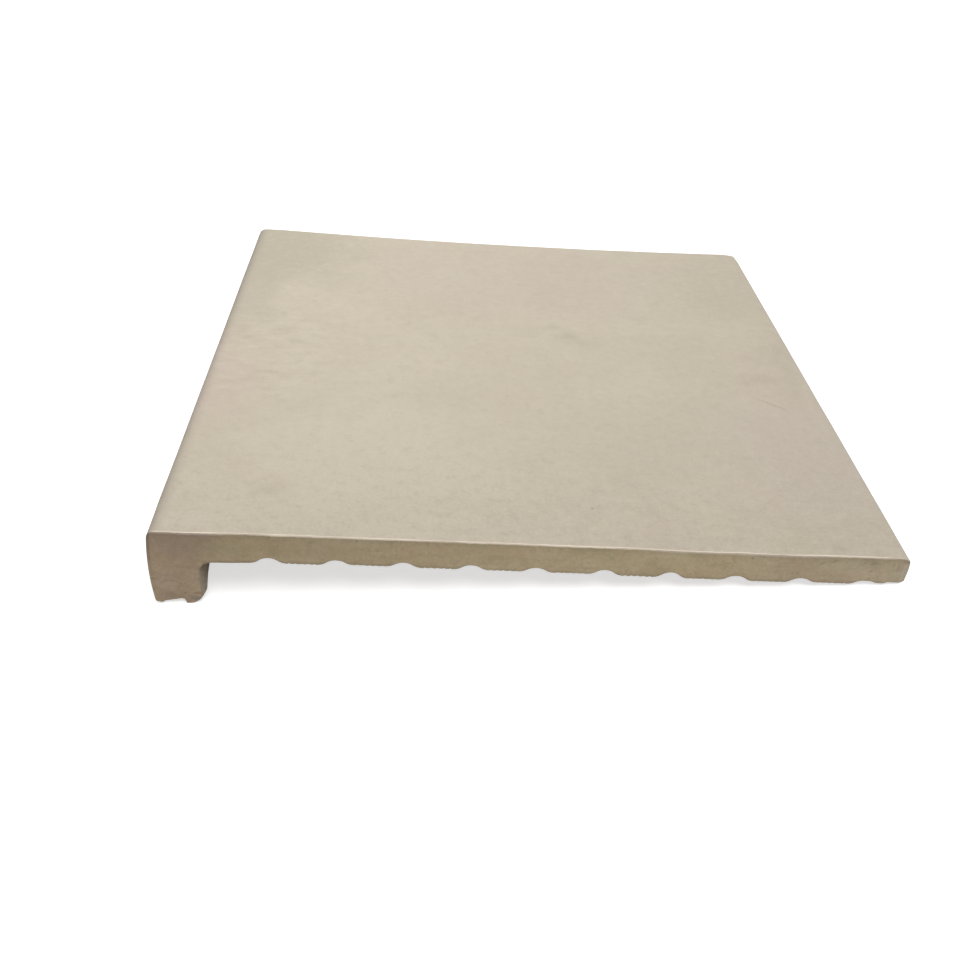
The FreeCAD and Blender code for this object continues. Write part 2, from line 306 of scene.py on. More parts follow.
def extrudeTile(piece):
    bpy.ops.mesh.select_mode(type="FACE")
    selectAll()
    for reach in (tile["endStep"], tile["length"] - 2 * tile["endStep"], tile["endStep"]):
        bpy.ops.mesh.extrude_region_move(TRANSFORM_OT_translate={"value": (0, reach, 0)})
    bpy.ops.mesh.select_mode(type="EDGE")
    long = tile["length"] / 2
    selectEdges(piece, lambda edge: edge.calc_length() > long)
    bpy.ops.mesh.subdivide(number_cuts=tile["rings"])
    selectAll()
    bpy.ops.mesh.remove_doubles(threshold=weldReach)
    bpy.ops.mesh.normals_make_consistent(inside=False)


def easeArrises(piece):
    # the top, the nose's outer face and the rear face meet each cut face in a soft edge
    end = tile["length"] / 2 - weldReach
    rearX = tile["depth"] - onRear

    def isArris(edge):
        middle = (edge.verts[0].co + edge.verts[1].co) / 2 + piece.location
        along = all(abs(vert.co.y + piece.location.y) > end for vert in edge.verts)
        outline = any(abs(face.normal.y) < 0.5 for face in edge.link_faces)
        outside = middle.z > -tile["arrisReach"] or middle.x < tile["arrisReach"] or middle.x > rearX
        return along and outline and outside

    bpy.ops.mesh.select_mode(type="EDGE")
    selectEdges(piece, isArris)
    bpy.ops.mesh.bevel(offset=tile["arris"], segments=3, profile=0.5, affect="EDGES")
    bpy.ops.object.mode_set(mode="OBJECT")
    bpy.ops.object.transform_apply(location=True, rotation=True, scale=True)


def weigh(piece, name, weightAt):
    group = piece.vertex_groups.new(name=name)
    for vert in piece.data.vertices:
        weight = weightAt(vert.co)
        if weight > 0:
            group.add([vert.index], weight, "REPLACE")
    return group.name


def applyModifiers(piece):
    makeActive(piece)
    for modifier in list(piece.modifiers):
        bpy.ops.object.modifier_apply(modifier=modifier.name)


def roughen(piece, name, group, size, strength, depth=2):
    # the mid level of 1 lets the surface sink and never rise, so the tile keeps its size
    noise = bpy.data.textures.new(name, "CLOUDS")
    noise.noise_scale = size
    noise.noise_depth = depth
    displace = piece.modifiers.new(name, "DISPLACE")
    displace.texture = noise
    displace.texture_coords = "LOCAL"
    displace.vertex_group = group
    displace.strength = strength
    displace.mid_level = 1


def shift(piece, name, direction, distance, weightAt):
    # moves the surface by this distance where the weight is 1
    displace = piece.modifiers.new(name, "DISPLACE")
    displace.direction = direction
    displace.strength = distance
    displace.mid_level = 0
    displace.vertex_group = weigh(piece, name, weightAt)


def smooth(value):
    value = min(max(value, 0), 1)
    return value * value * (3 - 2 * value)


def addSag(piece):
    # a lattice lets the middle of the slab down, more and more towards the far end
    t = tile
    heel = Vector((t["noseThickness"] - t["heelRadius"], foot))
    rear = Vector((t["depth"] - t["rearLowRadius"], under))

    def looseness(place):
        across = Vector((place.x, place.z))
        return smooth(min((across - heel).length, (across - rear).length) / t["sagFade"])

    bpy.ops.object.add(type="LATTICE", location=(t["depth"] / 2, 0, foot / 2))
    cage = bpy.context.object
    cage.scale = (t["depth"], t["length"], t["noseDrop"])
    cage.data.points_u, cage.data.points_v, cage.data.points_w = 7, 2, 2
    cage.data.interpolation_type_u = "KEY_CATMULL_ROM"
    cage.data.interpolation_type_v = cage.data.interpolation_type_w = "KEY_LINEAR"
    for point in cage.data.points:
        if point.co.y > 0:
            point.co_deform.z -= t["sag"] / t["noseDrop"] * (1 - (2 * point.co.x) ** 2)
    lattice = piece.modifiers.new("sag", "LATTICE")
    lattice.object = cage
    lattice.vertex_group = weigh(piece, "loose", looseness)
    applyModifiers(piece)
    bpy.data.objects.remove(cage)


def innerSide(place):
    # 1 low on the inner side of the nose, fading out towards its root
    inner = tile["noseThickness"]
    if not inner - tile["heelRadius"] < place.x < inner + tile["sideReach"]:
        return 0
    return smooth((tile["sideTop"] - place.z) / tile["sideFade"])


def flared(place):
    # 1 on the inner side just behind a cut
    behind = tile["length"] / 2 - abs(place.y)
    rise = min(1, behind / tile["flareRise"])
    return innerSide(place) * rise * max(0, 1 - behind / tile["flareReach"]) ** 2


def drawnIn(place):
    # 1 on the inner side away from the cuts
    behind = tile["length"] / 2 - abs(place.y)
    return innerSide(place) * smooth(behind / tile["waistReach"])


def wear(place):
    # how far the near arris is worn down here
    if place.y > nearEnd + tile["wornBand"] or place.z < -tile["wornBand"]:
        return 0
    return max(smooth(1 - abs(place.x - middle) / reach)
               for middle, reach in zip(tile["wornAt"], tile["wornReach"]))


def cornerWear(place):
    # how far a far corner of the walking surface is knocked off here
    upper = smooth(1 + place.z / tile["cornerFade"])
    behind = tile["length"] / 2 - place.y
    return upper * max(share * smooth(1 - math.hypot(place.x - corner, behind) / tile["cornerReach"])
                       for corner, share in tile["farCorners"])


def rearFace(place):
    # 1 on the rear face, fading out round its edges
    return smooth((place.x - tile["depth"]) / tile["rearTopRadius"] + 1)


def swollen(place):
    # 1 on the rear face at one height beside the near cut
    beside = max(0, 1 - (place.y - nearEnd) / tile["swellFade"])
    return rearFace(place) * beside * smooth(1 - abs(place.z - tile["swellAt"]) / tile["swellReach"])


def onScar(place):
    startInset, endInset = tile["scarInset"]
    across = tile["scarStart"] + startInset < place.x < tile["scarEnd"] - endInset
    return 1 if across and place.z < foot + tile["scarTop"] else 0


def finishSurfaces(piece):
    end = tile["length"] / 2 - onCut
    cutFaces = weigh(piece, "cutFaces", lambda place: 1 if abs(place.y) > end else 0)
    skin = weigh(piece, "skin", lambda place: 0 if abs(place.y) > end else 1)
    scar = weigh(piece, "scar", onScar)
    shift(piece, "flare", "X", tile["flare"], flared)
    shift(piece, "waist", "X", -tile["waist"], drawnIn)
    shift(piece, "wornArris", "Z", -tile["wornDepth"], wear)
    shift(piece, "wornCorners", "Z", -tile["cornerDepth"], cornerWear)
    shift(piece, "rearFull", "X", tile["rearFull"], rearFace)
    shift(piece, "rearSwell", "X", tile["rearSwell"], swollen)
    roughen(piece, "unevenSkin", skin, tile["waveSize"], tile["waves"])
    roughen(piece, "draggedClay", cutFaces, tile["dragSize"], tile["drag"], depth=4)
    roughen(piece, "splitFoot", scar, tile["splitSize"], tile["split"], depth=4)
    applyModifiers(piece)


def setDown(piece):
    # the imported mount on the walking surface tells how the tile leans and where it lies
    mounts = {mount["name"]: mount for mount in frame["record"]["mounts"]}
    walking = mounts["walking_surface"]
    lean = math.atan2(walking["axis"][0], walking["axis"][2])
    place = Vector(walking["pos_m"]) - Matrix.Rotation(lean, 3, "Y") @ Vector((tile["depth"] / 2, 0, 0))
    makeActive(piece)
    bpy.ops.object.mode_set(mode="EDIT")
    selectAll()
    bpy.ops.transform.rotate(value=-lean, orient_axis="Y", center_override=(0, 0, 0))
    bpy.ops.transform.translate(value=place)
    bpy.ops.object.mode_set(mode="OBJECT")
    return lean, place


def markRim(piece):
    # 1 on the outline of each cut face and 0 inside it, for the finish to read
    end = tile["length"] / 2 - onCut
    rim = piece.data.attributes.new("rim", "FLOAT", "POINT")
    ends = {vert.index for vert in piece.data.vertices if abs(vert.co.y) > end}
    for edge in piece.data.edges:
        inside = [index for index in edge.vertices if index in ends]
        if len(inside) == 1:
            rim.data[inside[0]].value = 1


# Which faces get the cut clay's finish or the bedding face's, by their normals
facing = {
    "cut": 0.9,                # along Y, at an end
    "cutDepth": 0.002,         # and no further in than this
    "inner": 0.5,              # the nose's inner side, towards the rear
    "below": 0.2,              # downwards
}


def paintSlots(piece, skin, clay, back):
    for material in (skin, clay, back):
        piece.data.materials.append(material)
    end = tile["length"] / 2 - facing["cutDepth"]
    for polygon in piece.data.polygons:
        isCut = abs(polygon.normal.y) > facing["cut"] and abs(polygon.center.y) > end
        insideNose = polygon.normal.x > facing["inner"] and polygon.center.x < 0
        below = polygon.normal.z < -facing["below"] or insideNose
        polygon.material_index = 1 if isCut else 2 if below else 0


# Finishes. Colours are as they look in plain light; sizes are in millimetres.
skinLook = {
    "base": (0.61, 0.54, 0.434),
    "pale": (0.65, 0.58, 0.47),
    "shade": (0.57, 0.50, 0.40),
    "arris": (0.95, 0.82, 0.67),
    "valley": (0.90, 0.895, 0.885),
    "speckColour": (0.42, 0.36, 0.28),
    "patch": 70.0,
    "mottle": 0.5,
    "tint": 0.4,
    "blotch": 0.24,
    "nearBlotch": 0.42,
    "blotchSize": 5.5,
    "stroke": 0.40,
    "strokeSize": 6.0,
    "strokeStretch": (0.40, 1.0, 1.0),
    "strokeDark": (0.50, 0.44, 0.35),
    "strokePale": (0.68, 0.61, 0.50),
    "chatterAt": (30, -5, 0),
    "chatterReach": (62, 85, 9),
    "grain": 1.6,
    "tooth": 0.38,
    "nearTooth": 0.8,          # coarser beside the cut face
    "nearBand": (-60, -165),   # both grow between these places along Y
    "roll": (0.78, 0.78, 0.81),
    "rollShadeBand": (9.0, 0.5),
    "wobble": 1.1,             # raggedness of the marks
    "speckSize": 2.2,
    "speck": 0.25,
    "roughness": 0.80,
    "specular": 0.25,
    "bump": 0.4,
    "relief": 0.0002,
}
clayLook = {
    "base": (0.60, 0.485, 0.31),
    "pale": (0.65, 0.54, 0.36),
    "shade": (0.50, 0.40, 0.25),
    "arris": (0.95, 0.82, 0.67),
    "rim": (0.80, 0.80, 0.84),
    "rearTint": (0.98, 0.99, 1.06),
    "rearBand": (230.0, 300.0),
    "underArris": (0.87, 0.87, 0.88),
    "underBand": (-5.0, -0.8),
    "noseEdgeShade": (0.73, 0.755, 0.80),
    "edgeInset": (1.9, 1.4),   # from the nose's outer face
    "edgeHeights": (-27.0, -9.0),
    "edgeBand": (40.0, 20.0),
    "noseShade": (0.87, 0.86, 0.875),
    "shadeBand": (230.0, 10.0),
    "noseTint": (0.95, 0.905, 0.955),
    "tintBand": (40.0, 18.0),
    "dragSize": 6.0,           # streaks that the cutting wire left
    "dragStretch": (0.25, 1.0, 1.6),
    "dragTone": 0.5,
    "dragHeight": 1.5,
    "wobble": 1.0,
    "valley": (0.88, 0.875, 0.86),
    "speckColour": (0.30, 0.24, 0.16),
    "patch": 26.0,
    "mottle": 0.7,
    "tint": 0.9,
    "grain": 1.4,
    "tooth": 1.0,
    "speckSize": 2.6,
    "speck": 0.5,
    "roughness": 0.90,
    "specular": 0.2,
    "bump": 0.5,
    "relief": 0.0003,
}
backLook = {
    "base": (0.57, 0.49, 0.38),
    "pale": (0.62, 0.54, 0.43),
    "shade": (0.48, 0.41, 0.31),
    "lineSize": 2.0,           # fine lines along the extrusion
    "lineStretch": (1.0, 0.03, 1.0),
    "lineTone": 0.5,
    "wobble": 0.8,
    "valley": (0.86, 0.855, 0.84),
    "speckColour": (0.32, 0.26, 0.18),
    "patch": 45.0,
    "mottle": 0.8,
    "tint": 0.6,
    "grain": 1.8,
    "tooth": 1.0,
    "speckSize": 3.0,
    "speck": 0.5,
    "roughness": 0.90,
    "specular": 0.2,
    "bump": 0.5,
    "relief": 0.0003,
}
# the pale edge along the top of each cut face: a worn, paler edge with a painted highlight on it
arrisLook = {
    "reach": 0.7,              # how far the pale edge comes in from the cut plane
    "ragged": 5.0,
    "wobble": 0.6,
    "heights": (-1.2, -0.7),   # it ends between these, below the walking surface
    "patch": 28.0,             # its wear and painted highlight come and go in stretches of this size
    "faintest": 0.55,
    "rearBand": (328.0, 312.0),    # and nearly gone at the rear corner
    "rearFaint": 0.1,
}
roughSwing = 0.06              # hollows of the grain are this much smoother, crests rougher


def addNode(tree, kind, inputs=None, **settings):
    node = tree.nodes.new("ShaderNode" + kind)
    node.location = (240 * (len(tree.nodes) % 12), -320 * (len(tree.nodes) // 12))
    for name, value in settings.items():
        setattr(node, name, value)
    for name, value in (inputs or {}).items():
        if isinstance(value, bpy.types.NodeSocket):
            tree.links.new(value, node.inputs[name])
        else:
            node.inputs[name].default_value = value
    return node


def newGroup(name, inputs, outputs):
    # inputs and outputs map a socket's name to its kind and first value
    tree = bpy.data.node_groups.new(name, "ShaderNodeTree")
    for inOut, sockets in (("INPUT", inputs), ("OUTPUT", outputs)):
        for label, (kind, value) in sockets.items():
            socket = tree.interface.new_socket(label, in_out=inOut, socket_type="NodeSocket" + kind)
            if value is not None:
                socket.default_value = value
    entry = tree.nodes.new("NodeGroupInput")
    leave = tree.nodes.new("NodeGroupOutput")
    return tree, entry.outputs, leave.inputs


def useGroup(tree, group, inputs=None):
    return addNode(tree, "Group", inputs, node_tree=group).outputs


def calc(tree, operation, first, second=0.0):
    return addNode(tree, "Math", {0: first, 1: second}, operation=operation).outputs[0]


def span(tree, value, low, high, toLow=0.0, toHigh=1.0):
    inputs = {"Value": value, "From Min": low, "From Max": high, "To Min": toLow, "To Max": toHigh}
    return addNode(tree, "MapRange", inputs, interpolation_type="SMOOTHSTEP").outputs[0]


def mixColour(tree, factor, first, second, blend="MIX"):
    first, second = [(*value, 1) if isinstance(value, tuple) else value for value in (first, second)]
    inputs = {0: factor, 6: first, 7: second}
    return addNode(tree, "Mix", inputs, data_type="RGBA", blend_type=blend).outputs[2]


def noise(tree, place, size, detail=3.0, roughness=0.55, stretch=None):
    if stretch:
        place = addNode(tree, "Mapping", {"Vector": place, "Scale": stretch}).outputs[0]
    inputs = {"Vector": place, "Scale": 1 / size, "Detail": detail, "Roughness": roughness}
    return addNode(tree, "TexNoise", inputs).outputs["Fac"]


def makePlaceGroup(lean, place):
    # Object coordinates turned back to the level tile, in millimetres
    tree, _, leave = newGroup("tilePlace", {}, {"Place": ("Vector", None)})
    coordinates = addNode(tree, "TexCoord").outputs["Object"]
    inputs = {"Vector": coordinates, "Location": place, "Rotation": (0, lean, 0),
              "Scale": (0.001, 0.001, 0.001)}
    level = addNode(tree, "Mapping", inputs, vector_type="TEXTURE").outputs[0]
    tree.links.new(level, leave["Place"])
    return tree


def makeMottleGroup():
    # cloudy tones of a fired body: pale and dark patches, with greenish and rosy tints
    greenTint, rosyTint = (0.93, 1.0, 0.94), (1.0, 0.93, 0.94)
    tree, entry, leave = newGroup(
        "clayMottle",
        {"Place": ("Vector", None), "Base": ("Color", None), "Pale": ("Color", None),
         "Shade": ("Color", None), "Patch": ("Float", 60.0), "Strength": ("Float", 0.5),
         "Tint": ("Float", 0.3)},
        {"Color": ("Color", None)})
    size = calc(tree, "DIVIDE", 1.0, entry["Patch"])

    def cloud(factor, detail, low, high, offset):
        moved = addNode(tree, "Mapping", {"Vector": entry["Place"], "Location": offset}).outputs[0]
        field = addNode(tree, "TexNoise", {"Vector": moved, "Scale": calc(tree, "MULTIPLY", size, factor),
                                           "Detail": detail, "Roughness": 0.6})
        return calc(tree, "MULTIPLY", span(tree, field.outputs["Fac"], low, high), entry["Strength"])

    colour = mixColour(tree, cloud(1.0, 4.0, 0.42, 0.68, (0, 0, 0)), entry["Base"], entry["Pale"])
    colour = mixColour(tree, cloud(2.3, 5.0, 0.45, 0.72, (70, 20, 9)), colour, entry["Shade"])
    colour = mixColour(tree, cloud(9.0, 4.0, 0.50, 0.75, (-31, 57, 3)), colour, entry["Shade"])
    green = calc(tree, "MULTIPLY", cloud(1.7, 4.0, 0.48, 0.70, (12, -80, 40)), entry["Tint"])
    rosy = calc(tree, "MULTIPLY", cloud(2.1, 4.0, 0.48, 0.70, (-90, 11, -25)), entry["Tint"])
    colour = mixColour(tree, green, colour, greenTint, "MULTIPLY")
    colour = mixColour(tree, rosy, colour, rosyTint, "MULTIPLY")
    tree.links.new(colour, leave["Color"])
    return tree


def makeGrainGroup():
    # the fine tooth of unglazed stoneware, its tone and the few darker specks in it
    tree, entry, leave = newGroup(
        "firedGrain",
        {"Place": ("Vector", None), "Size": ("Float", 1.2), "Speck Size": ("Float", 2.0)},
        {"Height": ("Float", None), "Tone": ("Float", None), "Specks": ("Float", None)})

    def field(size, detail, roughness, offset):
        moved = addNode(tree, "Mapping", {"Vector": entry["Place"], "Location": offset}).outputs[0]
        inputs = {"Vector": moved, "Scale": calc(tree, "DIVIDE", 1.0, size), "Detail": detail,
                  "Roughness": roughness}
        return addNode(tree, "TexNoise", inputs).outputs["Fac"]

    fine = field(entry["Size"], 5.0, 0.8, (0, 0, 0))
    tone = field(entry["Size"], 3.0, 0.75, (40, 13, 5))
    specks = span(tree, field(entry["Speck Size"], 1.0, 0.5, (7, -60, 21)), 0.74, 0.80)
    tree.links.new(calc(tree, "SUBTRACT", fine, calc(tree, "MULTIPLY", specks, 0.6)), leave["Height"])
    tree.links.new(span(tree, tone, 0.3, 0.7), leave["Tone"])
    tree.links.new(specks, leave["Specks"])
    return tree


def makeMarkGroup():
    # one soft-edged smudge at a place on the tile, its outline made ragged by the wobble
    tree, entry, leave = newGroup(
        "softMark",
        {"Place": ("Vector", None), "Centre": ("Vector", (0, 0, 0)), "Reach": ("Vector", (10, 5, 5)),
         "Turn": ("Vector", (0, 0, 0)), "Wobble": ("Float", 0.0)},
        {"Mask": ("Float", None), "Arc": ("Float", None)})
    inputs = {"Vector": entry["Place"], "Location": entry["Centre"], "Rotation": entry["Turn"],
              "Scale": entry["Reach"]}
    local = addNode(tree, "Mapping", inputs, vector_type="TEXTURE").outputs[0]
    reach = addNode(tree, "VectorMath", {0: local}, operation="LENGTH").outputs["Value"]
    reach = calc(tree, "ADD", reach, entry["Wobble"])
    tree.links.new(span(tree, reach, 1.0, 0.25), leave["Mask"])
    # a scraped line along the upper half of its outline
    upper = span(tree, addNode(tree, "SeparateXYZ", {0: local}).outputs["Z"], 0.0, 0.5)
    line = span(tree, calc(tree, "ABSOLUTE", calc(tree, "SUBTRACT", reach, 0.9)), 0.16, 0.02)
    tree.links.new(calc(tree, "MULTIPLY", line, upper), leave["Arc"])
    return tree


def makeArrisGroup():
    # 1 on the eased edge round a cut face, broken up along its length and fading at the rear: the paler
    # worn edge with a painted highlight along it
    look = arrisLook
    tree, entry, leave = newGroup(
        "arrisWearAndHighlight",
        {"Place": ("Vector", None), "Half Length": ("Float", 500 * tile["length"]),
         "Reach": ("Float", look["reach"])},
        {"Mask": ("Float", None)})
    axes = addNode(tree, "SeparateXYZ", {0: entry["Place"]}).outputs
    inside = calc(tree, "SUBTRACT", entry["Half Length"], calc(tree, "ABSOLUTE", axes["Y"]))
    uneven = calc(tree, "SUBTRACT", noise(tree, entry["Place"], look["ragged"], detail=4.0), 0.5)
    inside = calc(tree, "ADD", inside, calc(tree, "MULTIPLY", uneven, look["wobble"]))
    edge = span(tree, calc(tree, "DIVIDE", inside, entry["Reach"]), 1.0, 0.5)
    below = span(tree, calc(tree, "ADD", axes["Z"], uneven), *look["heights"])
    wearAndSheen = span(tree, noise(tree, entry["Place"], look["patch"]), 0.3, 0.6, look["faintest"], 1.0)
    rear = span(tree, axes["X"], *look["rearBand"], look["rearFaint"], 1.0)
    wearAndSheen = calc(tree, "MULTIPLY", wearAndSheen, rear)
    tree.links.new(calc(tree, "MULTIPLY", calc(tree, "MULTIPLY", edge, below), wearAndSheen), leave["Mask"])
    return tree


# Marks in level millimetres from the nose, the middle of the length and the walking surface.
# A turn is in degrees about X, Y and Z.
skinMarks = {
    "diagonalSmudge": {"at": (199, 33, 0), "reach": (24, 5, 6), "turn": (0, 0, -57),
                       "colour": (0.53, 0.47, 0.37), "strength": 0.3},
    "smudgeStart": {"at": (190, 43, 0), "reach": (7, 7, 6),
                    "colour": (0.50, 0.44, 0.34), "strength": 0.35},
    "smudgeMiddle": {"at": (198, 32, 0), "reach": (9, 11, 6), "turn": (0, 0, -40),
                     "colour": (0.49, 0.43, 0.34), "strength": 0.42},
    "smudgeEnd": {"at": (208, 23, 0), "reach": (10, 9, 6),
                  "colour": (0.51, 0.47, 0.38), "strength": 0.35},
    "scratch": {"at": (301.3, -37.7, 0), "reach": (13, 0.8, 6), "turn": (0, 0, -39),
                "colour": (0.36, 0.30, 0.22), "strength": 0.75},
    "scuff": {"at": (305, -11, 0), "reach": (15, 9, 6),
              "colour": (0.52, 0.44, 0.35), "strength": 0.45},
    "scuffDot": {"at": (292.5, -15.4, 0), "reach": (3.5, 4, 6),
                 "colour": (0.48, 0.41, 0.31), "strength": 0.25},
    "rearDot": {"at": (312.5, 26, 0), "reach": (7, 6, 6),
                "colour": (0.52, 0.47, 0.37), "strength": 0.4},
    "noseDot": {"at": (33, 39.6, 0), "reach": (3, 5, 6),
                "colour": (0.46, 0.41, 0.32), "strength": 0.3},
    "noseScuff": {"at": (46, 6.4, 0), "reach": (11, 4, 6),
                  "colour": (0.51, 0.46, 0.37), "strength": 0.45},
    "edgeScuff": {"at": (10.5, -14.4, 0), "reach": (8, 6, 6),
                  "colour": (0.50, 0.45, 0.36), "strength": 0.45},
    # painted shade along the nose's rounded edge, growing towards the back
    "noseBackEdgeShade": {"at": (0, 130, -2), "reach": (9, 190, 9),
                     "colour": (0.43, 0.39, 0.34), "strength": 0.55},
    "noseSideShade": {"at": (6, 92, 0), "reach": (34, 120, 9),
                      "colour": (0.52, 0.46, 0.37), "strength": 0.75},
    "frontPale": {"at": (95, -108, 0), "reach": (100, 78, 9),
                  "colour": (0.66, 0.59, 0.475), "strength": 0.7},
    "rosyNose": {"at": (12, -38, 0), "reach": (32, 62, 9),
                 "colour": (0.61, 0.515, 0.43), "strength": 0.75},
    "violetBack": {"at": (165, 112, 0), "reach": (165, 85, 9),
                   "colour": (0.585, 0.51, 0.43), "strength": 0.5},
    "greenBack": {"at": (290, 95, 0), "reach": (55, 52, 9),
                  "colour": (0.56, 0.52, 0.41), "strength": 0.5},
    "greenMiddle": {"at": (225, -78, 0), "reach": (62, 62, 9),
                    "colour": (0.58, 0.535, 0.425), "strength": 0.5},
    "violetFront": {"at": (305, -85, 0), "reach": (52, 85, 9),
                    "colour": (0.58, 0.505, 0.43), "strength": 0.6},
    "greenRear": {"at": (262, 0, 0), "reach": (32, 46, 9),
                  "colour": (0.575, 0.53, 0.415), "strength": 0.5},
    # painted shade on the rear edge's round, which turns from the light
    "rearRimShade": {"at": (331, 0, -1), "reach": (6, 230, 7),
                "colour": (0.54, 0.50, 0.45), "strength": 0.6},
    "pit": {"at": (192, -137.5, 0), "reach": (1.2, 1.2, 6),
            "colour": (0.38, 0.32, 0.24), "strength": 0.6},
    "noseSmudge": {"at": (48, -132, 0), "reach": (13, 8, 6), "turn": (0, 0, 10),
                   "colour": (0.52, 0.46, 0.36), "strength": 0.3},
    "edgeSmudge": {"at": (95, -145, 0), "reach": (22, 8, 6),
                   "colour": (0.53, 0.47, 0.37), "strength": 0.08},
    "longBand": {"at": (130, -138, 0), "reach": (55, 8, 6), "turn": (0, 0, -3),
                 "colour": (0.54, 0.485, 0.38), "strength": 0.14},
    "brightStrip": {"at": (14, -156, 0), "reach": (16, 8, 6),
                    "colour": (0.66, 0.59, 0.49), "strength": 0.5},
    "rearWear": {"at": (321, 6, 0), "reach": (9, 58, 6), "turn": (0, 0, -5),
                 "colour": (0.52, 0.45, 0.36), "strength": 0.35},
    "faintMark": {"at": (299, -159, 0), "reach": (5, 3, 6),
                  "colour": (0.53, 0.45, 0.35), "strength": 0.4},
    "backLeftShade": {"at": (20, 135, 0), "reach": (75, 75, 9),
                      "colour": (0.50, 0.45, 0.355), "strength": 0.8},
    "backRightShade": {"at": (320, 110, 0), "reach": (60, 90, 9),
                       "colour": (0.53, 0.46, 0.37), "strength": 0.3},
}
clayMarks = {
    "noseTop": {"at": (14, -165, -3), "reach": (25, 6, 15),
                "colour": (0.45, 0.36, 0.25), "strength": 0.72},
    "heelSpot": {"at": (20.3, -165, -34.2), "reach": (3.2, 6, 1.4),
                 "colour": (0.48, 0.30, 0.22), "strength": 0.7},
    "heelStain": {"at": (18.6, -165, -37.2), "reach": (4.5, 6, 2.4),
                  "colour": (0.39, 0.345, 0.26), "strength": 0.8},
    "toePale": {"at": (6.5, -165, -28), "reach": (7, 6, 7),
                "colour": (0.64, 0.52, 0.38), "strength": 0.4},
    "footStain": {"at": (8, -165, -36), "reach": (8, 6, 3),
                  "colour": (0.50, 0.38, 0.28), "strength": 0.4},
    "rosyPatch": {"at": (72, -165, -8), "reach": (10, 6, 7),
                  "colour": (0.60, 0.47, 0.37), "strength": 0.45},
    "greenPatch": {"at": (34, -165, -9), "reach": (13, 6, 5),
                   "colour": (0.50, 0.45, 0.28), "strength": 0.5},
    "darkFleck": {"at": (54, -165, -9.5), "reach": (5, 6, 3),
                  "colour": (0.42, 0.34, 0.21), "strength": 0.4},
    "dragOne": {"at": (291.0, -165, -4.7), "reach": (2.6, 6, 1.0), "turn": (0, -32, 0),
                "colour": (0.34, 0.27, 0.18), "strength": 0.6},
    "dragTwo": {"at": (296, -165, -3.4), "reach": (2.4, 6, 0.9), "turn": (0, -32, 0),
                "colour": (0.36, 0.29, 0.19), "strength": 0.5},
    "rearPale": {"at": (328.6, -165, -8), "reach": (2.0, 6, 8),
                 "colour": (0.68, 0.60, 0.50), "strength": 0.6},
    "rearLine": {"at": (325.3, -165, -5.4), "reach": (1.3, 6, 4.6),
                 "colour": (0.42, 0.33, 0.23), "strength": 0.5},
    "frontShade": {"at": (64, -165, -7), "reach": (52, 6, 8),
                   "colour": (0.52, 0.42, 0.25), "strength": 0.5},
    "rearBright": {"at": (302, -165, -7), "reach": (26, 6, 5),
                   "colour": (0.66, 0.55, 0.38), "strength": 0.35},
    # pale bands just under the arris where it is worn down: paler wear and a painted highlight
    "wornNoseHighlight": {"at": (16, -165, -1.25), "reach": (27, 6, 0.9),
                 "colour": (0.86, 0.74, 0.60), "strength": 0.7},
    "wornRearHighlight": {"at": (236, -165, -1.25), "reach": (36, 6, 0.9),
                 "colour": (0.86, 0.74, 0.60), "strength": 0.7},
    "wornRearEndHighlight": {"at": (272, -165, -1.25), "reach": (31, 6, 0.95),
                    "colour": (0.86, 0.74, 0.60), "strength": 0.7},
    "wornCorner": {"at": (329.3, -165, -2.2), "reach": (4.4, 6, 1.7),
                   "colour": (0.36, 0.25, 0.19), "strength": 0.45},
    "rearFleck": {"at": (314, -165, -4.0), "reach": (3.0, 6, 1.2), "turn": (0, -10, 0),
                  "colour": (0.36, 0.30, 0.23), "strength": 0.45},
    "rearSpot": {"at": (313.4, -165, -8.2), "reach": (1.7, 6, 1.1),
                 "colour": (0.40, 0.33, 0.26), "strength": 0.35},
}
# and a scraped arc low on the nose
scraped = {"at": (9.0, -165, -30.6), "reach": (5.4, 6, 3.2), "colour": (0.40, 0.30, 0.21), "strength": 0.38,
           "wobble": 0.4}
backMarks = {
    # painted shade on the nose's inner side under the slab and in its root
    "noseInsideShade": {"at": (22.5, -163, -29), "reach": (9, 13, 15),
                   "colour": (0.37, 0.31, 0.245), "strength": 0.6},
    "noseRootShade": {"at": (24, -158, -19), "reach": (7, 12, 5),
                 "colour": (0.30, 0.25, 0.19), "strength": 0.5},
}


def startMaterial(name):
    material = bpy.data.materials.new(name)
    material.use_nodes = True
    tree = material.node_tree
    shader = tree.nodes["Principled BSDF"]
    place = useGroup(tree, groups["place"])["Place"]
    return material, tree, shader, place


def finishMaterial(tree, shader, colour, height, look):
    tree.links.new(colour, shader.inputs["Base Color"])
    smoothest, roughest = look["roughness"] - roughSwing, look["roughness"] + roughSwing
    rough = span(tree, height, 0.3, 0.7, smoothest, roughest)
    tree.links.new(rough, shader.inputs["Roughness"])
    shader.inputs["Specular IOR Level"].default_value = look["specular"]
    bump = addNode(tree, "Bump", {"Height": height, "Strength": look["bump"], "Distance": look["relief"]})
    tree.links.new(bump.outputs[0], shader.inputs["Normal"])


def mottled(tree, place, look):
    inputs = {"Place": place, "Base": (*look["base"], 1), "Pale": (*look["pale"], 1),
              "Shade": (*look["shade"], 1), "Patch": look["patch"], "Strength": look["mottle"],
              "Tint": look["tint"]}
    return useGroup(tree, groups["mottle"], inputs)["Color"]


def ragged(tree, place, strength):
    # one uneven field for the outlines of all the marks
    field = noise(tree, place, size=24.0, detail=6.0, roughness=0.68)
    field = calc(tree, "SUBTRACT", field, 0.5)
    return calc(tree, "MULTIPLY", field, strength)


